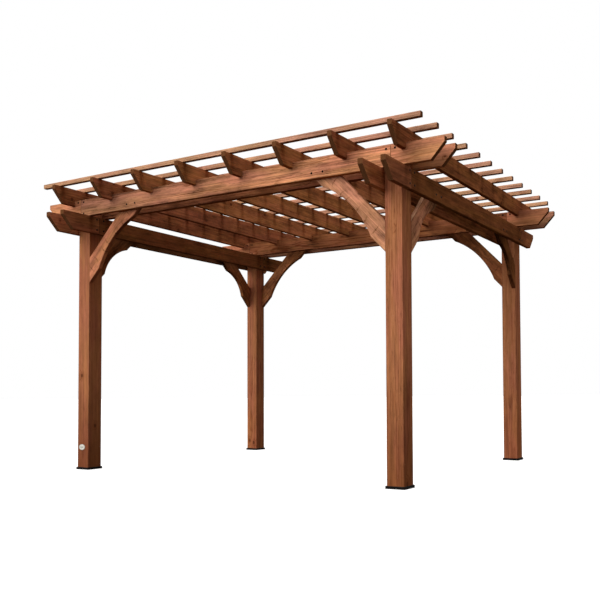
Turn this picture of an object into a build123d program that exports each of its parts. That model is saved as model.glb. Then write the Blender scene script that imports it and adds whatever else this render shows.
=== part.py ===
from build123d import *
import os
from math import cos, pi, sqrt

# Wooden pergola: four square posts on flat plates, a low pair of boards along each
# side, a high pair across the front and the back, curved knee braces, notched
# rafters and square slats on top.
# Millimetres. X runs along the front, Y from front to back, Z up.
# The origin is on the ground, at the middle of the pergola.

# Posts and their plates
post_width = 140
post_spacing_x = 3180
post_spacing_y = 2370
post_edge_radius = 5
post_top_gap = 12
plate_width = 158
plate_thickness = 20
plate_corner_radius = 6
plate_edge_chamfer = 2

# Boards of the beams
board_height = 152
board_thickness = 40
board_edge_chamfer = 3
beam_clearance = 2120
low_overhang = 380
high_overhang = 418

# Tails cut on the ends of boards and rafters
tail_nose_height = 38
beam_tail_run = 106
rafter_tail_run = 96

# Rafters
rafter_thickness = 38
rafter_length = 3000
rafter_count = 8
rafter_gap = 484
notch_depth = 46

# Slats
slat_section = 38
slat_length = 3800
slat_count = 12
slat_gap = 259
slats_in_group = 3

# Knee braces, sawn from a wide board that stands at 45 degrees
brace_thickness = 40
brace_width = 160
brace_drop = 442
brace_low_nose = 167
long_brace_rise = 222
long_brace_high_nose = 172
long_brace_sagitta = 60
short_brace_rise = 100
short_brace_high_nose = 228
short_brace_sagitta = 54
brace_edge_chamfer = 3

# Levels and places worked out from those sizes
half_post = post_width / 2
post_x = post_spacing_x / 2
post_y = post_spacing_y / 2
low_beam_top = beam_clearance + board_height
high_beam_top = low_beam_top + board_height
rafter_bottom = high_beam_top - notch_depth
rafter_top = rafter_bottom + board_height
board_offset = half_post + board_thickness / 2
brace_offset = half_post - brace_thickness / 2
diagonal = cos(pi / 4)

up = Vector(0, 0, 1)
sides_x = {"left": -1, "right": 1}
sides_y = {"front": -1, "back": 1}
layers = {"outer": 1, "inner": -1}


def save(piece, name):
    """Label one finished piece and write it."""
    piece.part.label = name
    export_step(piece.part, f"parts/{name}.step")


def upright_plane(middle, run):
    """The upright plane through a board's middle, with its x axis along the run."""
    return Plane(origin=middle, x_dir=run, z_dir=run.cross(up))


def make_post(name, x, y):
    """One square post, from its plate up between the high boards."""
    with BuildPart() as post:
        with BuildSketch(Plane.XY.offset(plate_thickness)):
            with Locations((x, y)):
                RectangleRounded(post_width, post_width, post_edge_radius)
        extrude(amount=high_beam_top - post_top_gap - plate_thickness)
    save(post, name)


def make_plate(name, x, y):
    """The flat plate under one post, with its top edge broken."""
    with BuildPart() as plate:
        with BuildSketch(Plane.XY):
            with Locations((x, y)):
                RectangleRounded(plate_width, plate_width, plate_corner_radius)
        extrude(amount=plate_thickness)
        chamfer(plate.faces().sort_by(Axis.Z)[-1].edges(), length=plate_edge_chamfer)
    save(plate, name)


def make_span(name, middle, run, splice_distance):
    """A board's middle length, butted to its end pieces over the posts."""
    with BuildPart() as span:
        with BuildSketch(upright_plane(middle, run)):
            Rectangle(2 * splice_distance, board_height)
        extrude(amount=board_thickness / 2, both=True)
        long_edges = span.edges().filter_by(Axis(middle, run))
        chamfer(long_edges, length=board_edge_chamfer)
    save(span, name)


def make_ends(name, middle, run, splice_distance, overhang):
    """The two end pieces of a board, each with a tail sawn back below its nose."""
    tip = splice_distance + overhang
    half_height = board_height / 2
    with BuildPart() as ends:
        with BuildSketch(upright_plane(middle, run)):
            with BuildLine():
                Polyline(
                    (splice_distance, -half_height),
                    (tip - beam_tail_run, -half_height),
                    (tip, half_height - tail_nose_height),
                    (tip, half_height),
                    (splice_distance, half_height),
                    close=True,
                )
            make_face()
        extrude(amount=board_thickness / 2, both=True)
        long_edges = ends.edges().filter_by(Axis(middle, run))
        chamfer(long_edges, length=board_edge_chamfer)
        mirror(about=Plane(origin=middle, z_dir=run))
    save(ends, name)


def make_rafter(name, x):
    """One rafter with sawn tails, notched down over the four high boards."""
    tip = rafter_length / 2
    notch_places = [
        (side * (post_y + layer * board_offset), rafter_bottom + notch_depth / 2)
        for side in sides_y.values()
        for layer in layers.values()
    ]
    with BuildPart() as rafter:
        with BuildSketch(Plane.YZ.offset(x)):
            with BuildLine():
                Polyline(
                    (-tip, rafter_top),
                    (-tip, rafter_top - tail_nose_height),
                    (-tip + rafter_tail_run, rafter_bottom),
                    (tip - rafter_tail_run, rafter_bottom),
                    (tip, rafter_top - tail_nose_height),
                    (tip, rafter_top),
                    close=True,
                )
            make_face()
        extrude(amount=rafter_thickness / 2, both=True)
        long_edges = rafter.edges().filter_by(Axis.Y)
        chamfer(long_edges, length=board_edge_chamfer)
        with BuildSketch(Plane.YZ.offset(x)):
            with Locations(*notch_places):
                Rectangle(board_thickness, notch_depth)
        extrude(amount=rafter_thickness / 2, both=True, mode=Mode.SUBTRACT)
    save(rafter, name)


def make_slats(name, first):
    """A group of neighbouring slats, loose from each other."""
    middle = (slat_count - 1) / 2
    places = [
        (0, (first + step - middle) * slat_gap, rafter_top + slat_section / 2)
        for step in range(slats_in_group)
    ]
    with BuildPart() as slats:
        with Locations(*places):
            Box(slat_length, slat_section, slat_section)
        chamfer(slats.edges().filter_by(Axis.X), length=board_edge_chamfer)
    save(slats, name)


def make_brace(name, foot, run, rise, high_nose, sagitta):
    """One knee brace, from the post's side up between the boards of a beam.

    The foot is on the post's face, level with the underside of the low beams.
    Below, straight noses run into a hollow arc. Above, the edge is straight.
    """
    slope_length = (rise + brace_drop) / diagonal
    cut_length = brace_width / diagonal

    def along_slope(distance, depth=0):
        """A point along the lower edge, set back into the board by a depth."""
        return (
            (distance - depth) * diagonal,
            (distance + depth) * diagonal - brace_drop,
        )

    hollow_start = along_slope(brace_low_nose)
    hollow_end = along_slope(slope_length - high_nose)
    hollow_middle = along_slope(
        (brace_low_nose + slope_length - high_nose) / 2, sagitta
    )
    with BuildPart() as brace:
        with BuildSketch(upright_plane(foot, run)):
            with BuildLine():
                Line((0, -brace_drop), hollow_start)
                ThreePointArc(hollow_start, hollow_middle, hollow_end)
                Polyline(
                    hollow_end,
                    (rise + brace_drop, rise),
                    (rise + brace_drop - cut_length, rise),
                    (0, cut_length - brace_drop),
                    (0, -brace_drop),
                )
            make_face()
        extrude(amount=brace_thickness / 2, both=True)
        broad_faces = brace.faces().filter_by(upright_plane(foot, run))
        sawn_edges = broad_faces.edges().filter_by_position(
            Axis((0, 0, 0), up), beam_clearance - brace_drop, beam_clearance + rise,
            inclusive=(False, False),
        )
        chamfer(sawn_edges.filter_by(Axis.Z, reverse=True), length=brace_edge_chamfer)
    save(brace, name)


os.makedirs("parts", exist_ok=True)

# Posts and plates, one at each corner
for side_y, sign_y in sides_y.items():
    for side_x, sign_x in sides_x.items():
        corner = f"{side_y}_{side_x}"
        make_post(f"post_{corner}", sign_x * post_x, sign_y * post_y)
        make_plate(f"plate_{corner}", sign_x * post_x, sign_y * post_y)

# Low beams: a pair of boards along each side, on the posts' left and right faces
for side_x, sign_x in sides_x.items():
    for layer, sign in layers.items():
        board_x = sign_x * (post_x + sign * board_offset)
        board_middle = Vector(board_x, 0, beam_clearance + board_height / 2)
        board = f"low_{side_x}_{layer}"
        make_span(f"{board}_span", board_middle, Vector(0, 1, 0), post_y)
        make_ends(f"{board}_ends", board_middle, Vector(0, 1, 0), post_y, low_overhang)

# High beams: a pair of boards across the front and the back, resting on the low pairs
for side_y, sign_y in sides_y.items():
    for layer, sign in layers.items():
        board_y = sign_y * (post_y + sign * board_offset)
        board_middle = Vector(0, board_y, low_beam_top + board_height / 2)
        board = f"high_{side_y}_{layer}"
        make_span(f"{board}_span", board_middle, Vector(1, 0, 0), post_x)
        make_ends(f"{board}_ends", board_middle, Vector(1, 0, 0), post_x, high_overhang)

# Knee braces: a long one under the high beam and a short one under the low beam
for side_y, sign_y in sides_y.items():
    for side_x, sign_x in sides_x.items():
        corner = f"{side_y}_{side_x}"
        make_brace(
            f"brace_{corner}_long",
            Vector(
                sign_x * (post_x - half_post),
                sign_y * (post_y + brace_offset),
                beam_clearance,
            ),
            Vector(-sign_x, 0, 0),
            long_brace_rise,
            long_brace_high_nose,
            long_brace_sagitta,
        )
        make_brace(
            f"brace_{corner}_short",
            Vector(
                sign_x * (post_x + brace_offset),
                sign_y * (post_y - half_post),
                beam_clearance,
            ),
            Vector(0, -sign_y, 0),
            short_brace_rise,
            short_brace_high_nose,
            short_brace_sagitta,
        )

# Rafters from left to right
for number in range(rafter_count):
    rafter_x = (number - (rafter_count - 1) / 2) * rafter_gap
    make_rafter(f"rafter_{number + 1}", rafter_x)

# Slats from front to back
for first_slat in range(0, slat_count, slats_in_group):
    make_slats(f"slats_{first_slat + 1}_to_{first_slat + slats_in_group}", first_slat)
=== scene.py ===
import math

import bmesh
import bpy
from mathutils import Matrix, Vector


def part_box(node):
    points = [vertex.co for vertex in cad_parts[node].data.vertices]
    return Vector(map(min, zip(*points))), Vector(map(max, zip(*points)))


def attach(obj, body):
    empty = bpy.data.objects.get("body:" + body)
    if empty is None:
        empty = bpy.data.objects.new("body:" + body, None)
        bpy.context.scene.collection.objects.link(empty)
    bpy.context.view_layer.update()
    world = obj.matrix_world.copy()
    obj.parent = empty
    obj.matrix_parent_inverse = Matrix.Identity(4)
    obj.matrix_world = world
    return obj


# Wooden pergola: stained posts, paired beams, knee braces, notched rafters and slats.
# Metres. X runs along the front, Y from front to back, Z up.

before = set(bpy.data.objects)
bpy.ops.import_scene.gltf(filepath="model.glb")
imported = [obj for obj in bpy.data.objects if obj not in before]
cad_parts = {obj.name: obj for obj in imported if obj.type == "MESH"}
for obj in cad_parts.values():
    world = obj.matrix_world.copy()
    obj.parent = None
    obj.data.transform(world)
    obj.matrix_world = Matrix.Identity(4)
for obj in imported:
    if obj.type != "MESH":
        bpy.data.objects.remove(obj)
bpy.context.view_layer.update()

# Sizes of the CAD pieces that the looks need
post_x = 1.590
post_y = 1.185
half_post = 0.070
board_thickness = 0.040
half_board_height = 0.076
low_base = 2.120
high_base = 2.272
half_rafter_thickness = 0.019
half_slat = 0.019
slat_gap = 0.259
half_brace_width = 0.080
half_brace_thickness = 0.020

sides_x = {"left": -1, "right": 1}
sides_y = {"front": -1, "back": 1}
layers = {"outer": 1, "inner": -1}

along_x = Vector((1.0, 0.0, 0.0))
along_y = Vector((0.0, 1.0, 0.0))
along_z = Vector((0.0, 0.0, 1.0))


# Camera, from the fit to the photograph

def place_camera():
    """The photograph's viewpoint: low, in front of the right front post."""
    camera_place = (4.1312, -5.9742, 0.7037)
    yaw = math.radians(28.121)
    pitch = math.radians(1.945)
    roll = math.radians(-0.393)
    forward = Vector((
        -math.sin(yaw) * math.cos(pitch),
        math.cos(yaw) * math.cos(pitch),
        math.sin(pitch),
    ))
    level_right = Vector((math.cos(yaw), math.sin(yaw), 0.0))
    level_up = level_right.cross(forward)
    right = level_right * math.cos(roll) + level_up * math.sin(roll)
    up = level_up * math.cos(roll) - level_right * math.sin(roll)

    # The lens's axis meets the picture off its middle. All four are in pixels.
    image_size = 600
    focal_length = 762.36
    axis_from_left = 397.01
    axis_from_top = 362.79
    data = bpy.data.cameras.new("camera")
    data.sensor_fit = "HORIZONTAL"
    data.sensor_width = 36.0
    data.lens = focal_length * data.sensor_width / image_size
    data.shift_x = (image_size / 2 - axis_from_left) / image_size
    data.shift_y = (axis_from_top - image_size / 2) / image_size
    data.clip_end = 200.0
    camera = bpy.data.objects.new("camera", data)
    turn = Matrix((right, up, -forward)).transposed().to_4x4()
    camera.matrix_world = Matrix.Translation(camera_place) @ turn
    bpy.context.scene.collection.objects.link(camera)
    bpy.context.scene.camera = camera


place_camera()


# Shader nodes

white = (1.0, 1.0, 1.0, 1.0)


def add(tree, kind, inputs=None, **settings):
    """Add one node, set its settings, and link or set its inputs."""
    made = tree.nodes.new(kind)
    for name, value in settings.items():
        setattr(made, name, value)
    for name, value in (inputs or {}).items():
        if isinstance(value, bpy.types.NodeSocket):
            tree.links.new(value, made.inputs[name])
        else:
            made.inputs[name].default_value = value
    return made


def maths(tree, operation, first, second=0.0, third=None, clamp=False):
    """A Math node's result."""
    values = {0: first, 1: second}
    if third is not None:
        values[2] = third
    made = add(tree, "ShaderNodeMath", values, operation=operation, use_clamp=clamp)
    return made.outputs[0]


def vector_maths(tree, operation, first, second):
    """A Vector Math node's result."""
    made = add(tree, "ShaderNodeVectorMath", {0: first, 1: second}, operation=operation)
    return made.outputs["Value" if operation == "DOT_PRODUCT" else "Vector"]


def split(tree, vector):
    """The three parts of a vector."""
    return add(tree, "ShaderNodeSeparateXYZ", {0: vector}).outputs


def join(tree, first, second, third=0.0):
    """A vector from its three parts."""
    return add(tree, "ShaderNodeCombineXYZ", {0: first, 1: second, 2: third}).outputs[0]


def distance(tree, first, second):
    """How long two steps at right angles are together."""
    squares = [maths(tree, "MULTIPLY", step, step) for step in (first, second)]
    return maths(tree, "SQRT", maths(tree, "ADD", *squares))


def band(tree, value, low, high, start=0.0, end=1.0):
    """A smooth step of a value, from one number to another."""
    return add(tree, "ShaderNodeMapRange", {
        "Value": value, "From Min": low, "From Max": high, "To Min": start, "To Max": end,
    }, interpolation_type="SMOOTHSTEP").outputs["Result"]


def noise(tree, vector, factors, seed, detail=2.0, roughness=0.5):
    """Seeded noise on a vector that is stretched by three factors."""
    return add(tree, "ShaderNodeTexNoise", {
        "Vector": vector_maths(tree, "MULTIPLY", vector, factors), "W": seed, "Scale": 1.0,
        "Detail": detail, "Roughness": roughness,
    }, noise_dimensions="4D").outputs


def blend(tree, amount, first, second, mode="MIX"):
    """Two colours mixed by an amount."""
    return add(tree, "ShaderNodeMix", {0: amount, 6: first, 7: second},
               data_type="RGBA", blend_type=mode).outputs[2]


def tint(tree, first, second):
    """Two colours multiplied."""
    return blend(tree, 1.0, first, second, "MULTIPLY")


def new_group(name, inputs, outputs):
    """An empty shader node group with named sockets, and the sockets inside it."""
    group = bpy.data.node_groups.new(name, "ShaderNodeTree")
    for label, kind, value in inputs:
        socket = group.interface.new_socket(label, in_out="INPUT", socket_type=kind)
        if value is not None:
            socket.default_value = value
    for label, kind in outputs:
        group.interface.new_socket(label, in_out="OUTPUT", socket_type=kind)
    entry = group.nodes.new("NodeGroupInput")
    leave = group.nodes.new("NodeGroupOutput")
    return group, entry.outputs, leave.inputs


# The groups below share one grain vector: X runs along the board, Y across it and
# Z through it, from the board's middle

def edge_wear_group():
    """How dark and how rubbed a long edge is, from the distance to it and a rough noise."""
    group, given, result = new_group(
        "Edge wear",
        [
            ("Grain", "NodeSocketVector", None),
            ("Half Width", "NodeSocketFloat", 0.07),
            ("Half Thickness", "NodeSocketFloat", 0.02),
            ("Seed", "NodeSocketFloat", 0.0),
            ("Reach", "NodeSocketFloat", 0.006),
        ],
        [("Wear", "NodeSocketFloat"), ("Arris", "NodeSocketFloat")],
    )
    parts = split(group, given["Grain"])
    across = maths(group, "SUBTRACT", given["Half Width"], maths(group, "ABSOLUTE", parts[1]))
    through = maths(group, "SUBTRACT", given["Half Thickness"], maths(group, "ABSOLUTE", parts[2]))
    from_edge = maths(group, "MAXIMUM", across, through)
    rough = noise(group, given["Grain"], (9.0, 60.0, 60.0), given["Seed"], 3.0, 0.6)[0]
    reach = maths(group, "MULTIPLY", given["Reach"], band(group, rough, 0.3, 0.75, 0.5, 1.6))
    near = maths(group, "SUBTRACT", 1.0, maths(group, "DIVIDE", from_edge, reach), clamp=True)
    group.links.new(near, result["Arris"])
    rubbed = band(group, rough, 0.58, 0.7)
    group.links.new(maths(group, "MULTIPLY", near, rubbed), result["Wear"])
    return group


def place_in_stem(group, given):
    """Where a point lies along the stem, round its pith and out from it."""
    wander = noise(group, given["Grain"], (1.7, 3.5, 3.5), given["Seed"])[1]
    centred = vector_maths(group, "SUBTRACT", wander, (0.5, 0.5, 0.5))
    shift = vector_maths(group, "MULTIPLY", centred, (0.0, 0.05, 0.05))
    stem = vector_maths(group, "ADD", given["Grain"], shift)
    along, across, through = split(group, stem)
    off_y = maths(group, "SUBTRACT", across, given["Pith Y"])
    off_z = maths(group, "SUBTRACT", through, given["Pith Z"])
    angle = maths(group, "ARCTAN2", off_y, off_z)
    return along, angle, distance(group, off_y, off_z)


def add_knots(group, given, along, angle, radius):
    """Knots' dark cores, the wood that bends round them, and their size.

    Knots are branches, so they run straight out from the pith.
    """
    knot_gap = 0.46
    knot_turn = 1.05
    knot_stretch = 0.72
    smallest_knot = 0.0045
    largest_knot = 0.0145
    seed = given["Seed"]
    place_x = maths(group, "MULTIPLY_ADD", seed, 7.31, maths(group, "DIVIDE", along, knot_gap))
    place_y = maths(group, "MULTIPLY_ADD", seed, 3.17, maths(group, "DIVIDE", angle, knot_turn))
    cell = add(group, "ShaderNodeTexVoronoi", {
        "Vector": join(group, place_x, place_y), "Scale": 1.0, "Randomness": 0.9,
    }, voronoi_dimensions="2D", feature="F1")
    middle = split(group, cell.outputs["Position"])
    steps_x = maths(group, "MULTIPLY", maths(group, "SUBTRACT", place_x, middle[0]), knot_gap)
    steps_y = maths(group, "MULTIPLY", maths(group, "SUBTRACT", place_y, middle[1]), knot_turn)
    from_knot = distance(
        group,
        maths(group, "MULTIPLY", steps_x, knot_stretch),
        maths(group, "MULTIPLY", steps_y, radius),
    )
    chance = add(group, "ShaderNodeSeparateColor", {0: cell.outputs["Color"]}).outputs
    here = maths(group, "GREATER_THAN", given["Knots"], chance[0])
    size = band(group, chance[1], 0.0, 1.0, smallest_knot, largest_knot)
    near = maths(group, "DIVIDE", from_knot, size)
    core = maths(group, "MULTIPLY", here, band(group, near, 0.75, 1.15, 1.0, 0.0))
    halo = maths(group, "MULTIPLY", here, band(group, near, 0.9, 4.2, 1.0, 0.0))
    return core, halo, size


def add_rings(group, given, radius, knot_halo, knot_size):
    """How dark the late wood of the growth rings is, pushed aside by the knots."""
    ring_width = 0.0105
    push = maths(group, "MULTIPLY", knot_halo, knot_size)
    pushed = maths(group, "MULTIPLY_ADD", push, 1.3, radius)
    year = noise(group, given["Grain"], (0.5, 14.0, 14.0), given["Seed"])[0]
    count = maths(group, "MULTIPLY_ADD", year, 4.0, maths(group, "DIVIDE", pushed, ring_width))
    ring = maths(group, "FRACT", count)
    late = maths(group, "MULTIPLY", band(group, ring, 0.48, 0.87),
                 band(group, ring, 0.88, 1.0, 1.0, 0.0))
    ring_number = maths(group, "ADD", maths(group, "FLOOR", count), given["Seed"])
    ring_mark = add(group, "ShaderNodeTexWhiteNoise", {"W": ring_number},
                    noise_dimensions="1D").outputs["Value"]
    return maths(group, "MULTIPLY", late, band(group, ring_mark, 0.1, 0.9, 0.3, 1.0))


def timber_group():
    """Stained softwood: growth rings round a pith, knots, fibres, checks and end grain."""
    group, given, result = new_group(
        "Stained timber",
        [
            ("Grain", "NodeSocketVector", None),
            ("Pith Y", "NodeSocketFloat", 0.0),
            ("Pith Z", "NodeSocketFloat", 0.06),
            ("Seed", "NodeSocketFloat", 0.0),
            ("Stain", "NodeSocketColor", white),
            ("Knots", "NodeSocketFloat", 0.5),
            ("Figure", "NodeSocketFloat", 1.0),
            ("Rings", "NodeSocketFloat", 1.0),
            ("Mottle", "NodeSocketFloat", 1.0),
            ("End", "NodeSocketFloat", 0.0),
            ("Wear", "NodeSocketFloat", 0.0),
            ("Arris", "NodeSocketFloat", 0.0),
            ("Joint", "NodeSocketFloat", 0.0),
            ("Branch", "NodeSocketFloat", 0.0),
        ],
        [
            ("Color", "NodeSocketColor"),
            ("Roughness", "NodeSocketFloat"),
            ("Height", "NodeSocketFloat"),
        ],
    )
    early_wood = (0.430, 0.178, 0.096, 1.0)
    late_wood = (0.212, 0.063, 0.027, 1.0)
    yellower = (1.0, 0.985, 0.85, 1.0)
    redder = (0.985, 0.865, 0.92, 1.0)
    knot_rim = (0.17, 0.052, 0.02, 1.0)
    knot_heart = (0.085, 0.028, 0.012, 1.0)
    crack_shade = (0.05, 0.02, 0.011, 1.0)
    branch_shade = (0.125, 0.045, 0.020, 1.0)
    scuffed_wood = (0.46, 0.26, 0.155, 1.0)
    end_early_wood = (0.130, 0.052, 0.021, 1.0)
    end_late_wood = (0.072, 0.026, 0.010, 1.0)
    arris_stain_and_shade = (0.055, 0.018, 0.007, 1.0)
    rubbed_wood = (0.62, 0.31, 0.165, 1.0)
    joint_shade = (0.02, 0.008, 0.004, 1.0)

    along, angle, radius = place_in_stem(group, given)
    knot_core, knot_halo, knot_size = add_knots(group, given, along, angle, radius)
    late = add_rings(group, given, radius, knot_halo, knot_size)

    def grained(lengthwise, crosswise, shift, detail, roughness=0.5):
        """Noise that is drawn out along the grain, with its own place in the seeds."""
        number = maths(group, "ADD", given["Seed"], shift)
        factors = (lengthwise, crosswise, crosswise)
        return noise(group, given["Grain"], factors, number, detail, roughness)[0]

    # Fibres, streaks and the uneven take-up of the stain
    fibre = grained(7.0, 190.0, 0.0, 3.0, 0.6)
    streak = grained(1.6, 78.0, 0.0, 3.0, 0.55)
    speck = grained(24.0, 120.0, 0.0, 2.0, 0.7)
    cloud = grained(2.6, 8.0, 0.0, 3.0, 0.55)
    blotch = grained(7.0, 26.0, 2.0, 3.0, 0.6)
    warmth = grained(2.4, 12.0, 9.0, 3.0)
    crack = band(group, grained(1.7, 95.0, 4.0, 1.0, 0.4), 0.735, 0.775)
    scuff = band(group, grained(260.0, 42.0, 6.0, 1.0, 0.4), 0.74, 0.80)

    # Rings, coloured by how warm the wood is
    strength = maths(group, "MULTIPLY_ADD", knot_halo, 0.9,
                     maths(group, "MULTIPLY", given["Figure"], given["Rings"]))
    rings_seen = maths(group, "MULTIPLY", late, band(group, cloud, 0.3, 0.7, 0.9, 0.55))
    rings_seen = maths(group, "MULTIPLY", rings_seen, strength, clamp=True)
    wood = blend(group, rings_seen, early_wood, late_wood)
    hue = blend(group, band(group, warmth, 0.34, 0.66), yellower, redder)
    tinted = tint(group, wood, hue)

    # Light and dark, fine and broad, then the board's own stain
    fine = maths(group, "ADD", band(group, streak, 0.27, 0.73, -0.30, 0.28),
                 band(group, fibre, 0.27, 0.73, -0.18, 0.18))
    fine = maths(group, "ADD", fine, band(group, speck, 0.55, 0.70, 0.02, -0.30))
    broad = maths(group, "ADD", band(group, cloud, 0.28, 0.72, -0.14, 0.12),
                  band(group, blotch, 0.28, 0.72, -0.17, 0.15))
    level = maths(group, "MULTIPLY_ADD", fine, given["Figure"], 1.0)
    level = maths(group, "MULTIPLY_ADD", broad, given["Mottle"], level)
    shaded = add(group, "ShaderNodeVectorMath", {0: tinted, "Scale": level},
                 operation="SCALE").outputs["Vector"]
    colour = tint(group, shaded, given["Stain"])

    def marked(amount, share, shade):
        """The colour so far, with a share of a shade laid where the amount is 1."""
        return blend(group, maths(group, "MULTIPLY", amount, share), colour, shade)

    colour = marked(knot_halo, 0.38, knot_rim)
    colour = marked(knot_core, 0.8, knot_heart)
    colour = marked(crack, 0.55, crack_shade)
    colour = blend(group, given["Branch"], colour, branch_shade)
    colour = marked(scuff, 0.5, scuffed_wood)

    # Arrises are darker, partly from stain held there and partly from painted shade along the
    # edges; sawn ends drink the stain and go dark; rubbed places are paler
    # Painted shade and held stain darken the arrises
    colour = marked(given["Arris"], 0.62, arris_stain_and_shade)
    end_wood = blend(group, late, end_early_wood, end_late_wood)
    colour = blend(group, given["End"], colour, end_wood)
    colour = marked(given["Wear"], 0.5, blend(group, 0.6, colour, rubbed_wood))
    colour = blend(group, given["Joint"], colour, joint_shade)
    group.links.new(colour, result["Color"])

    dull = maths(group, "ADD", band(group, cloud, 0.3, 0.7, 0.56, 0.68),
                 band(group, fibre, 0.25, 0.75, -0.05, 0.05))
    dull = maths(group, "MULTIPLY_ADD", given["End"], 0.16, dull)
    dull = maths(group, "MULTIPLY_ADD", given["Wear"], 0.08, dull)
    group.links.new(dull, result["Roughness"])

    height = maths(group, "MULTIPLY_ADD", late, 0.45, maths(group, "MULTIPLY", fibre, 0.55))
    height = maths(group, "MULTIPLY_ADD", crack, -1.6, height)
    height = maths(group, "MULTIPLY_ADD", knot_core, 0.35, height)
    group.links.new(height, result["Height"])
    return group


def end_grain_group():
    """How far a face looks along the grain: 1 on a sawn end, 0 on a side."""
    group, given, result = new_group(
        "Sawn end",
        [("Normal", "NodeSocketVector", None), ("Run", "NodeSocketVector", (1.0, 0.0, 0.0))],
        [("End", "NodeSocketFloat")],
    )
    facing = vector_maths(group, "DOT_PRODUCT", given["Normal"], given["Run"])
    end = band(group, maths(group, "ABSOLUTE", facing), 0.42, 0.72)
    group.links.new(end, result["End"])
    return group


def branch_line_group():
    """Branches sawn lengthwise: small dark knots, each with a thin bowed line across."""
    group, given, result = new_group(
        "Branch lines",
        [("Grain", "NodeSocketVector", None), ("Seed", "NodeSocketFloat", 0.0)],
        [("Mark", "NodeSocketFloat")],
    )
    branch_gap = 0.108
    most_off_middle = 0.04
    most_bow = 9.0
    along, across, _ = split(group, given["Grain"])
    place = maths(group, "ADD", maths(group, "DIVIDE", along, branch_gap), given["Seed"])
    cell = add(group, "ShaderNodeTexWhiteNoise", {"W": maths(group, "FLOOR", place)},
               noise_dimensions="1D").outputs["Color"]
    chance = add(group, "ShaderNodeSeparateColor", {0: cell}).outputs
    middle_x = band(group, chance[0], 0.0, 1.0, 0.3, 0.7)
    middle_y = band(group, chance[1], 0.0, 1.0, -most_off_middle, most_off_middle)
    from_middle = maths(group, "SUBTRACT", maths(group, "FRACT", place), middle_x)
    off_x = maths(group, "MULTIPLY", from_middle, branch_gap)
    off_y = maths(group, "SUBTRACT", across, middle_y)

    bend = band(group, chance[2], 0.0, 1.0, -most_bow, most_bow)
    bow = maths(group, "MULTIPLY", maths(group, "MULTIPLY", off_y, off_y), bend)
    ripple = noise(group, given["Grain"], (60.0, 60.0, 60.0), given["Seed"])[0]
    bowed = maths(group, "ADD", maths(group, "ADD", off_x, bow),
                  band(group, ripple, 0.2, 0.8, -0.004, 0.004))
    line = maths(
        group, "MULTIPLY",
        band(group, maths(group, "ABSOLUTE", bowed), 0.0014, 0.0046, 1.0, 0.0),
        band(group, maths(group, "ABSOLUTE", off_y), 0.018, 0.055, 0.8, 0.0),
    )
    knot = band(group, distance(group, off_x, off_y), 0.0045, 0.0105, 0.9, 0.0)
    group.links.new(maths(group, "MAXIMUM", line, knot), result["Mark"])
    return group


edge_wear = edge_wear_group()
branch_lines = branch_line_group()
timber = timber_group()
sawn_end = end_grain_group()


def use_group(tree, group, **inputs):
    """Place a node group and feed its named inputs."""
    made = tree.nodes.new("ShaderNodeGroup")
    made.node_tree = group
    for name, value in inputs.items():
        label = name.replace("_", " ")
        if isinstance(value, bpy.types.NodeSocket):
            tree.links.new(value, made.inputs[label])
        else:
            made.inputs[label].default_value = value
    return made.outputs


def new_material(name):
    """A material, its node tree and its shader."""
    material = bpy.data.materials.new(name)
    material.use_nodes = True
    tree = material.node_tree
    return material, tree, tree.nodes["Principled BSDF"]


def add_bump(tree, shader, height, strength, depth):
    """Roughen a shader's surface by a height."""
    bump = add(tree, "ShaderNodeBump", {
        "Height": height, "Strength": strength, "Distance": depth,
    })
    tree.links.new(bump.outputs[0], shader.inputs["Normal"])


def centre_of(node):
    """The middle of a CAD node's box."""
    low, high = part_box(node)
    return (Vector(low) + Vector(high)) / 2


def dress(node, material):
    """Give a CAD node's object one material."""
    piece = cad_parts[node]
    piece.data.materials.clear()
    piece.data.materials.append(material)


# Stained wood

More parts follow.
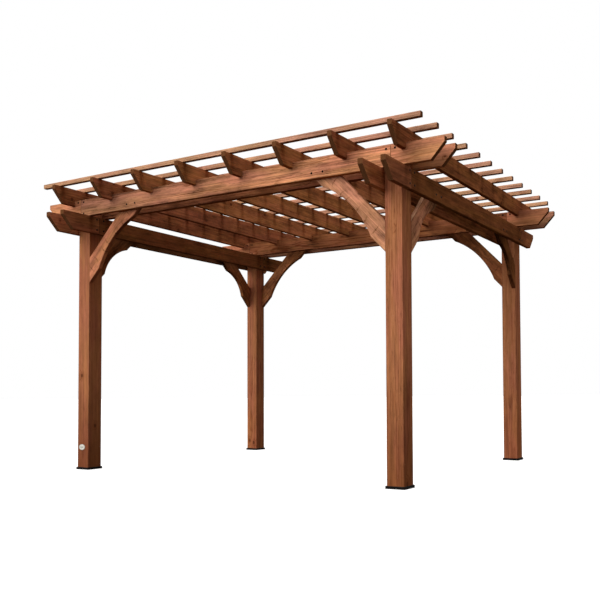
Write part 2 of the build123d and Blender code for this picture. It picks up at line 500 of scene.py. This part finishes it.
def dress_in_wood(node, run, across, half_width, half_thickness, seed, stain, pith,
                  set_across=0.0, knots=0.22, figure=1.0, rings=1.0, mottle=1.0,
                  pitch=None, two_ends=False, joint=None, arris=0.006, branches=0.0,
                  underside_shade=(0.75, 0.62, 0.45), topside_light=None, inside=None):
    """Give a node its own stained wood, with the grain along its boards.

    The stain is the colour at a board's start and at its far end, and the two
    places between which it changes. The pith is the tree's middle, across the board
    and through it. Set across is how far the grain's middle is from the middle of
    the node's box. The pitch is the distance between the sticks of a node, and the
    joint the distance from the middle at which two lengths of a board meet.

    The underside shade, topside light and inside shade are painted light and shade on the faces
    that look down,
    up, and into the gap of a pair: painted shade below and in the gap, painted light or shade
    above. The inside also says which way that gap is.
    """
    material, tree, shader = new_material(f"stained {node}")
    place = add(tree, "ShaderNodeTexCoord").outputs
    centre = centre_of(node) + set_across * across
    turn = Matrix((run, across, run.cross(across)))
    grain = add(tree, "ShaderNodeMapping", {
        "Vector": place["Object"],
        "Rotation": turn.to_euler("XYZ"),
        "Location": -(turn @ centre),
    }).outputs[0]

    # Each stick and each end piece of a node is from another tree
    number = seed
    if pitch is not None:
        along, beside, through = split(tree, grain)
        off_stick = maths(tree, "WRAP", beside, pitch / 2, -pitch / 2)
        grain = join(tree, along, off_stick, through)
        stick = maths(tree, "DIVIDE", maths(tree, "SUBTRACT", beside, off_stick), pitch)
        number = maths(tree, "MULTIPLY_ADD", stick, 3.7, seed)
    along = split(tree, grain)[0]
    if two_ends:
        number = maths(tree, "MULTIPLY_ADD", maths(tree, "SIGN", along), 5.3, seed)

    near_stain, far_stain, fade_start, fade_end = stain
    colour = (*near_stain, 1.0)
    if far_stain != near_stain:
        faded = band(tree, along, fade_start, fade_end)
        colour = blend(tree, faded, colour, (*far_stain, 1.0))
    # Painted shade on faces that look down, painted light or shade on faces that look up, painted
    # shade on faces that look into a pair's gap
    upward = split(tree, place["Normal"])[2]
    downward = band(tree, upward, -0.85, -0.45, 1.0, 0.0)
    colour = tint(tree, colour, blend(tree, downward, white, (*underside_shade, 1.0)))
    if topside_light is not None:
        raised = vector_maths(tree, "MULTIPLY", colour, topside_light)
        colour = blend(tree, band(tree, upward, 0.5, 0.68), colour, raised)
    if inside is not None:
        inward, gap_shade = inside
        facing = band(tree, vector_maths(tree, "DOT_PRODUCT", place["Normal"], inward), 0.5, 0.7)
        colour = tint(tree, colour, blend(tree, facing, white, (*gap_shade, 1.0)))

    joint_line = 0.0
    if joint is not None:
        off_middle = maths(tree, "ABSOLUTE", along)
        off_joint = maths(tree, "ABSOLUTE", maths(tree, "SUBTRACT", off_middle, joint))
        joint_line = band(tree, off_joint, 0.0010, 0.0032, 0.9, 0.0)
    branch = 0.0
    if branches:
        marks = use_group(tree, branch_lines, Grain=grain, Seed=number)["Mark"]
        branch = maths(tree, "MULTIPLY", marks, branches)
    edge = use_group(
        tree, edge_wear, Grain=grain, Half_Width=half_width, Half_Thickness=half_thickness,
        Seed=number, Reach=arris,
    )
    ended = use_group(tree, sawn_end, Normal=place["Normal"], Run=run)["End"]
    look = use_group(
        tree, timber, Grain=grain, Pith_Y=pith[0], Pith_Z=pith[1], Seed=number,
        Stain=colour, Knots=knots, Figure=figure, Rings=rings, Mottle=mottle,
        End=ended, Wear=edge["Wear"], Arris=edge["Arris"], Joint=joint_line, Branch=branch,
    )
    tree.links.new(look["Color"], shader.inputs["Base Color"])
    tree.links.new(look["Roughness"], shader.inputs["Roughness"])
    add_bump(tree, shader, look["Height"], 0.35, 0.0012)
    shader.inputs["Specular IOR Level"].default_value = 0.0
    dress(node, material)


# Every board gets its own seed and its own tree
seed = 0.0


def next_seed():
    """The seed of the next board."""
    global seed
    seed += 1.618
    return seed


def pith_beyond(number):
    """A pith past a board's edge, a little different on each board."""
    return (0.04 * math.sin(3 * number), 0.095 + 0.035 * math.cos(number))


# Tones of the stain, against a stain of 1, and the boards that start with these names. The tones
# are partly the boards' own stain and partly painted light and shade, darker or lighter for the
# shade or light each board stands in.
tones = {
    "pale": (1.02, 1.40, 1.64),
    "rose": (1.02, 1.2, 1.28),
    "bright": (1.35, 1.5, 1.5),
    "light": (1.22, 1.36, 1.3),
    "ochre": (0.92, 0.98, 0.78),
    "plain": (0.93, 0.96, 0.92),
    "rich": (0.78, 0.76, 0.7),
    "brown": (0.67, 0.65, 0.56),
    "deep": (0.57, 0.54, 0.4),
    "dark": (0.39, 0.37, 0.26),
}
boards_of_tone = {
    "pale": ["slats"],
    "rose": ["brace_front_right"],
    "bright": ["high_front_outer_span", "high_front_inner_ends", "high_back_outer_ends"],
    "light": ["high_front_outer_ends"],
    "ochre": ["rafter", "brace_back_left_long", "low_right_inner_ends"],
    "plain": [
        "low_left_outer_ends", "high_back_outer_span", "high_back_inner_ends",
        "brace_front_left_long",
    ],
    "rich": ["post", "rafter_2", "high_front_inner_span"],
    "brown": ["rafter_1", "rafter_7", "low_right_outer_ends", "high_back_inner_span"],
    "deep": [
        "low", "rafter_8", "brace_front_left_short", "brace_back_left_short",
        "brace_back_right",
    ],
    "dark": ["low_left_inner", "low_right_outer_span", "brace_back_right_short"],
}


def tone_of(node):
    """The tone whose longest name fits the node."""
    named = [
        (len(beginning), tone)
        for tone, beginnings in boards_of_tone.items()
        for beginning in beginnings
        if node.startswith(beginning)
    ]
    return tones[max(named)[1]]


def stain_of(node, near=(1.0, 1.0, 1.0), start=0.0, end=1.0):
    """A board's stain, changed at its start, and the places where that fades out."""
    whole = tone_of(node)
    return (tuple(part * change for part, change in zip(whole, near)), whole, start, end)


# Posts, with painted shade that darkens them towards the ground, most on the front ones
foot_shade_tints = {"front": (0.48, 0.40, 0.33), "back": (0.86, 0.78, 0.68)}
foot_fade_low = -0.35
foot_fade_high = 1.2
for side_y in sides_y:
    for side_x in sides_x:
        node = f"post_{side_y}_{side_x}"
        number = next_seed()
        middle = centre_of(node).z
        dress_in_wood(
            node, along_z, along_x, half_post, half_post, number,
            stain_of(node, foot_shade_tints[side_y], foot_fade_low - middle, foot_fade_high - middle),
            pith=(0.018 * math.sin(number), 0.022 * math.cos(number)),
            knots=0.1, figure=0.5 if node == "post_front_left" else 0.75, mottle=0.6,
        )

# Boards of the beams: each pair with its run, its joints and the way to the middle
beam_pairs = {
    "low_left": (along_y, post_y, along_x),
    "low_right": (along_y, post_y, -along_x),
    "high_front": (along_x, post_x, along_y),
    "high_back": (along_x, post_x, -along_y),
}
# Painted shade on the low boards' undersides and on the outer boards' faces that look into the gap
# of their pair
low_look = {"figure": 0.65, "mottle": 1.5, "underside_shade": (1.0, 1.0, 0.85)}
high_looks = {"span": {"figure": 1.2, "mottle": 1.3}, "ends": {"figure": 0.75, "mottle": 1.3}}
high_gap_shade = (0.8, 0.9, 1.0)
low_gap_shade = (0.48, 0.5, 0.52)
for pair, (run, joint, inward) in beam_pairs.items():
    high = pair.startswith("high")
    for layer in layers:
        for part in ("span", "ends"):
            node = f"{pair}_{layer}_{part}"
            number = next_seed()
            stain = stain_of(node)
            look = dict(high_looks[part] if high else low_look)
            if layer == "outer" and high:
                look["inside"] = (inward, high_gap_shade)
            elif layer == "outer" and part == "span":
                look["inside"] = (inward, low_gap_shade)
            if node == "high_front_outer_span":
                stain = ((0.76, 0.90, 0.98), tones["bright"], -1.6, 1.0)
                look["knots"] = 0.1
            elif node == "low_left_inner_ends":
                stain = stain_of(node, (1.7, 1.75, 2.1), -1.0, 1.0)
            dress_in_wood(
                node, run, along_z, half_board_height, board_thickness / 2, number, stain,
                pith_beyond(number), two_ends=part == "ends", joint=joint, **look,
            )

# Knee braces: painted shade makes the short ones dark where they run up between the low boards
for side_y, sign_y in sides_y.items():
    for side_x, sign_x in sides_x.items():
        for reach, inward in (("long", (-sign_x, 0, 0)), ("short", (0, -sign_y, 0))):
            node = f"brace_{side_y}_{side_x}_{reach}"
            run = (along_z + Vector(inward)).normalized()
            across = (along_z - Vector(inward)).normalized()
            number = next_seed()
            stain = stain_of(node)
            # Painted light and shade: faces that look up are darker on the long braces and lighter
            # on the short ones, and undersides get painted shade
            topside_light = (0.8, 0.76, 0.76)
            if reach == "short":
                # Painted shade: the short braces darken towards their top end, under the low
                # boards
                stain = (stain[0], tuple(0.42 * part for part in stain[1]), 0.06, 0.27)
                topside_light = (1.35, 1.6, 1.8)
            dress_in_wood(
                node, run, across, half_brace_width, half_brace_thickness, number, stain,
                pith=(0.13 + 0.02 * math.sin(number), 0.07), set_across=half_brace_width,
                knots=0.1, figure=0.65, rings=0.7, mottle=2.3, branches=0.8,
                underside_shade=(0.5, 0.42, 0.34), topside_light=topside_light,
            )

for count in range(1, 9):
    node = f"rafter_{count}"
    number = next_seed()
    dress_in_wood(
        node, along_y, along_z, half_board_height, half_rafter_thickness, number,
        stain_of(node), pith_beyond(number), figure=0.75, rings=0.7, mottle=1.7,
    )

# Slats, with painted shade on their undersides
for first in (1, 4, 7, 10):
    node = f"slats_{first}_to_{first + 2}"
    dress_in_wood(
        node, along_x, along_y, half_slat, half_slat, next_seed(), stain_of(node),
        pith=(0.02, 0.045), knots=0.15, figure=0.8, pitch=slat_gap, arris=0.003,
        underside_shade=(0.45, 0.36, 0.28),
    )


# Black plates and screws

def black_metal(name, grit, shine):
    """Black coated steel with a fine grit and a little dust on top."""
    coat_dark = (0.003, 0.003, 0.003, 1.0)
    coat_light = (0.009, 0.008, 0.008, 1.0)
    dust_colour = (0.12, 0.085, 0.06, 1.0)
    material, tree, shader = new_material(name)
    place = add(tree, "ShaderNodeTexCoord").outputs
    pebble = noise(tree, place["Object"], (grit, grit, grit), 1.0, 2.0, 0.6)[0]
    dust = noise(tree, place["Object"], (24.0, 24.0, 24.0), 2.0, 4.0, 0.62)[0]
    upward = split(tree, place["Normal"])[2]
    settled = maths(tree, "MULTIPLY", band(tree, upward, 0.2, 0.9, 0.25, 1.0),
                    band(tree, dust, 0.45, 0.75, 0.0, 0.25))
    coat = blend(tree, band(tree, pebble, 0.35, 0.7), coat_dark, coat_light)
    tree.links.new(blend(tree, settled, coat, dust_colour), shader.inputs["Base Color"])
    tree.links.new(band(tree, pebble, 0.3, 0.7, shine, shine + 0.16), shader.inputs["Roughness"])
    add_bump(tree, shader, pebble, 0.3, 0.0006)
    shader.inputs["Specular IOR Level"].default_value = 0.02
    return material


plate_black = black_metal("black coated plate", 900.0, 0.6)
screw_black = black_metal("black screw", 1500.0, 0.5)
for side_y in sides_y:
    for side_x in sides_x:
        dress(f"plate_{side_y}_{side_x}", plate_black)


def finish_piece(mesh_data, name, material):
    """Turn a bmesh into a shown piece that stays with the pergola."""
    mesh = bpy.data.meshes.new(name)
    mesh_data.to_mesh(mesh)
    mesh_data.free()
    mesh.materials.append(material)
    for face in mesh.polygons:
        face.use_smooth = True
    mesh.set_sharp_from_angle(angle=math.radians(35))
    piece = bpy.data.objects.new(name, mesh)
    bpy.context.scene.collection.objects.link(piece)
    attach(piece, "root")


def add_screw(mesh_data, point, outward):
    """One washer-head screw with a round recess, its head's base sunk into the wood."""
    head_radius = 0.0095
    top_radius = 0.8 * head_radius
    head_height = 0.0022
    sunk = 0.002
    rounding = 0.0007
    recess_radius = 0.003
    recess_depth = 0.0016
    recess_taper = 0.0003

    def outwardness(face):
        """How far out a face's middle is."""
        return (face.calc_center_median() - point).dot(outward)

    turn = outward.to_track_quat("Z", "X").to_matrix().to_4x4()
    lift = Matrix.Translation((0, 0, (head_height - sunk) / 2))
    made = bmesh.ops.create_cone(
        mesh_data, cap_ends=True, segments=18, radius1=head_radius, radius2=top_radius,
        depth=head_height + sunk, matrix=Matrix.Translation(point) @ turn @ lift,
    )
    top = max({face for vert in made["verts"] for face in vert.link_faces}, key=outwardness)
    rim = bmesh.ops.bevel(
        mesh_data, geom=list(top.edges), offset=rounding, offset_type="OFFSET",
        affect="EDGES", segments=2, profile=0.5, material=-1,
    )
    # The top is the large one of the faces that lie furthest out
    top = max(
        {face for vert in rim["verts"] for face in vert.link_faces},
        key=lambda face: outwardness(face) + face.calc_area() * 1e3,
    )
    bmesh.ops.inset_region(
        mesh_data, faces=[top], thickness=top_radius - rounding - recess_radius,
        use_even_offset=True,
    )
    bmesh.ops.inset_region(
        mesh_data, faces=[top], thickness=recess_taper, depth=-recess_depth,
        use_even_offset=True,
    )


def on_beam(run, along, out, height):
    """A point from its place along a beam, its place across that and its height."""
    return Vector((along, out, height)) if run == along_x else Vector((out, along, height))


# Screws, by how far past a joint they are and how high over the board's underside:
# four round each joint and, on the outer boards only, two where a brace ends
high_spots = {
    "joint": [(0.036, 0.128), (0.036, 0.026), (-0.036, 0.128), (-0.036, 0.026)],
    "brace": [(-0.575, 0.044), (-0.673, 0.044)],
}
low_spots = {
    "joint": [(0.026, 0.130), (0.026, 0.036), (-0.048, 0.130), (-0.048, 0.036)],
    "brace": [(-0.410, 0.052), (-0.500, 0.052)],
}
# Each pair's side of the pergola, its posts' distance from the middle, and its underside
screwed_pairs = {
    "high_front": (-1, post_y, high_base, high_spots),
    "high_back": (1, post_y, high_base, high_spots),
    "low_left": (-1, post_x, low_base, low_spots),
    "low_right": (1, post_x, low_base, low_spots),
}
for pair, (side, post_line, base, spots) in screwed_pairs.items():
    run, joint, _ = beam_pairs[pair]
    for layer, sign in layers.items():
        face = side * (post_line + sign * (half_post + board_thickness))
        outward = on_beam(run, 0, side * sign, 0)
        mesh_data = bmesh.new()
        for end in (-1, 1):
            for offset, height in spots["joint"] + (spots["brace"] if layer == "outer" else []):
                point = on_beam(run, end * (joint + offset), face, base + height)
                add_screw(mesh_data, point, outward)
        finish_piece(mesh_data, f"screws_{pair}_{layer}", screw_black)


# Plain disc low on the front left post

disc_centre = Vector((-1.601, -1.255, 0.199))
disc_width = 0.078
disc_height = 0.053


def disc_material():
    """Off-white enamel, a little yellowed, worn in the middle, with a ring of painted shade at the
    rim.
    """
    enamel_light = (0.58, 0.56, 0.50, 1.0)
    enamel_yellowed = (0.47, 0.44, 0.37, 1.0)
    chip = (0.30, 0.20, 0.12, 1.0)
    worn_grey = (0.22, 0.25, 0.21, 1.0)
    rim_painted_shade = (0.10, 0.085, 0.065, 1.0)
    material, tree, shader = new_material("off-white enamel")
    place = add(tree, "ShaderNodeTexCoord").outputs["Object"]
    stain = noise(tree, place, (70.0, 70.0, 70.0), 3.0, 4.0, 0.6)[0]
    speck = noise(tree, place, (420.0, 420.0, 420.0), 4.0, 2.0, 0.6)[0]
    enamel = blend(tree, band(tree, stain, 0.35, 0.7), enamel_light, enamel_yellowed)
    chipped = blend(tree, band(tree, speck, 0.68, 0.76, 0.0, 0.5), enamel, chip)
    # 0 in the middle of the disc, 1 at its rim
    centred = add(tree, "ShaderNodeMapping", {
        "Vector": place,
        "Location": (-disc_centre.x / (disc_width / 2), 0.0, -disc_centre.z / (disc_height / 2)),
        "Scale": (1 / (disc_width / 2), 0.0, 1 / (disc_height / 2)),
    }).outputs[0]
    reach = add(tree, "ShaderNodeVectorMath", {0: centred}, operation="LENGTH").outputs["Value"]
    wear = maths(tree, "MULTIPLY", band(tree, reach, 0.25, 0.6, 0.5, 0.0),
                 band(tree, stain, 0.3, 0.6))
    worn = blend(tree, wear, chipped, worn_grey)
    # Painted shade: a dark ring round the rim
    rim_shaded = blend(tree, band(tree, reach, 0.84, 0.93, 0.0, 0.85), worn, rim_painted_shade)
    tree.links.new(rim_shaded, shader.inputs["Base Color"])
    tree.links.new(band(tree, stain, 0.3, 0.7, 0.32, 0.5), shader.inputs["Roughness"])
    add_bump(tree, shader, speck, 0.15, 0.0004)
    return material


def add_disc():
    """A plain oval disc with a raised rim and a slightly domed middle."""
    disc_thickness = 0.003
    rounding = 0.0009
    # Steps inward from the rounded edge, and how far each rises or falls
    rim_steps = [(0.004, 0.0), (0.0007, -0.0008), (0.010, 0.0003), (0.008, 0.0001)]
    mesh_data = bmesh.new()
    bmesh.ops.create_cone(
        mesh_data, cap_ends=True, segments=48, radius1=0.5, radius2=0.5, depth=disc_thickness,
    )
    bmesh.ops.scale(mesh_data, vec=(disc_width, disc_height, 1.0), verts=mesh_data.verts)
    top = max(mesh_data.faces, key=lambda face: face.calc_center_median().z)
    bmesh.ops.bevel(
        mesh_data, geom=list(top.edges), offset=rounding, offset_type="OFFSET",
        affect="EDGES", segments=3, profile=0.5, material=-1,
    )
    top = max(mesh_data.faces, key=lambda face: face.calc_area() + face.calc_center_median().z)
    for thickness, depth in rim_steps:
        bmesh.ops.inset_region(
            mesh_data, faces=[top], thickness=thickness, depth=depth, use_even_offset=True,
        )
    facing = Vector((0, -1, 0)).to_track_quat("Z", "Y").to_matrix().to_4x4()
    stand = Matrix.Translation((0, 0, disc_thickness / 2))
    bmesh.ops.transform(
        mesh_data, matrix=Matrix.Translation(disc_centre) @ facing @ stand,
        verts=mesh_data.verts,
    )
    finish_piece(mesh_data, "disc_front_left", disc_material())


add_disc()


# Plain floor, white surroundings and soft lamps

def seen_directly(tree):
    """1 for the camera's rays and those in gloss and glass, 0 for the light."""
    rays = add(tree, "ShaderNodeLightPath").outputs
    seen = maths(tree, "MAXIMUM", rays["Is Camera Ray"], rays["Is Glossy Ray"])
    return maths(tree, "MAXIMUM", seen, rays["Is Transmission Ray"])


def plain_floor():
    """A pale floor that shows white to the camera and keeps a soft shadow."""
    floor_radius = 60.0
    colour_as_light = (0.042, 0.031, 0.022, 1.0)
    colour_when_seen = (0.34, 0.34, 0.34, 1.0)
    glow_when_seen = 0.78
    mesh_data = bmesh.new()
    bmesh.ops.create_circle(mesh_data, cap_ends=True, segments=64, radius=floor_radius)
    mesh = bpy.data.meshes.new("floor")
    mesh_data.to_mesh(mesh)
    mesh_data.free()
    floor = bpy.data.objects.new("floor", mesh)
    bpy.context.scene.collection.objects.link(floor)
    material, tree, shader = new_material("pale floor")
    seen = seen_directly(tree)
    colour = blend(tree, seen, colour_as_light, colour_when_seen)
    tree.links.new(colour, shader.inputs["Base Color"])
    shader.inputs["Roughness"].default_value = 0.9
    shader.inputs["Specular IOR Level"].default_value = 0.0
    shader.inputs["Emission Color"].default_value = white
    glow = maths(tree, "MULTIPLY", seen, glow_when_seen)
    tree.links.new(glow, shader.inputs["Emission Strength"])
    mesh.materials.append(material)


def white_world():
    """White to the camera and in gloss, warmer and dimmer as a light."""
    colour_as_light = (1.0, 0.80, 0.54, 1.0)
    strength_as_light = 0.135
    world = bpy.data.worlds.new("studio")
    bpy.context.scene.world = world
    world.use_nodes = True
    tree = world.node_tree
    background = tree.nodes["Background"]
    seen = seen_directly(tree)
    tree.links.new(blend(tree, seen, colour_as_light, white), background.inputs["Color"])
    strength = band(tree, seen, 0.0, 1.0, strength_as_light, 1.0)
    tree.links.new(strength, background.inputs["Strength"])


def add_lamp(name, towards, strength, spread):
    """A broad distant lamp that shines along a direction."""
    data = bpy.data.lights.new(name, "SUN")
    data.energy = strength
    data.angle = math.radians(spread)
    lamp = bpy.data.objects.new(name, data)
    turn = Vector(towards).normalized().to_track_quat("-Z", "Y")
    lamp.matrix_world = turn.to_matrix().to_4x4()
    bpy.context.scene.collection.objects.link(lamp)


def add_side_box():
    """A broad soft box beside the right posts, slightly warm."""
    data = bpy.data.lights.new("side box", "AREA")
    data.shape = "RECTANGLE"
    data.size = 4.0
    data.size_y = 2.4
    data.energy = 48.0
    data.color = (1.0, 0.93, 0.85)
    box = bpy.data.objects.new("side box", data)
    turn = Vector((-1.0, 0.0, 0.0)).to_track_quat("-Z", "Y").to_matrix().to_4x4()
    box.matrix_world = Matrix.Translation((6.5, 0.3, 1.3)) @ turn
    box.visible_camera = False
    bpy.context.scene.collection.objects.link(box)


plain_floor()
white_world()
add_lamp("front lamp", (0.7, 1.0, -0.4), 4.3, 80)
add_lamp("upper front lamp", (-0.1, 0.6, -1.0), 0.7, 60)
add_lamp("left lamp", (1.0, 0.1, -0.9), 2.8, 60)
add_lamp("top lamp", (-0.40, 0.05, -1.0), 1.15, 24)
add_side_box()
add_lamp("back lamp", (0.0, -1.0, -0.8), 0.7, 50)

bpy.context.scene.view_settings.view_transform = "Standard"
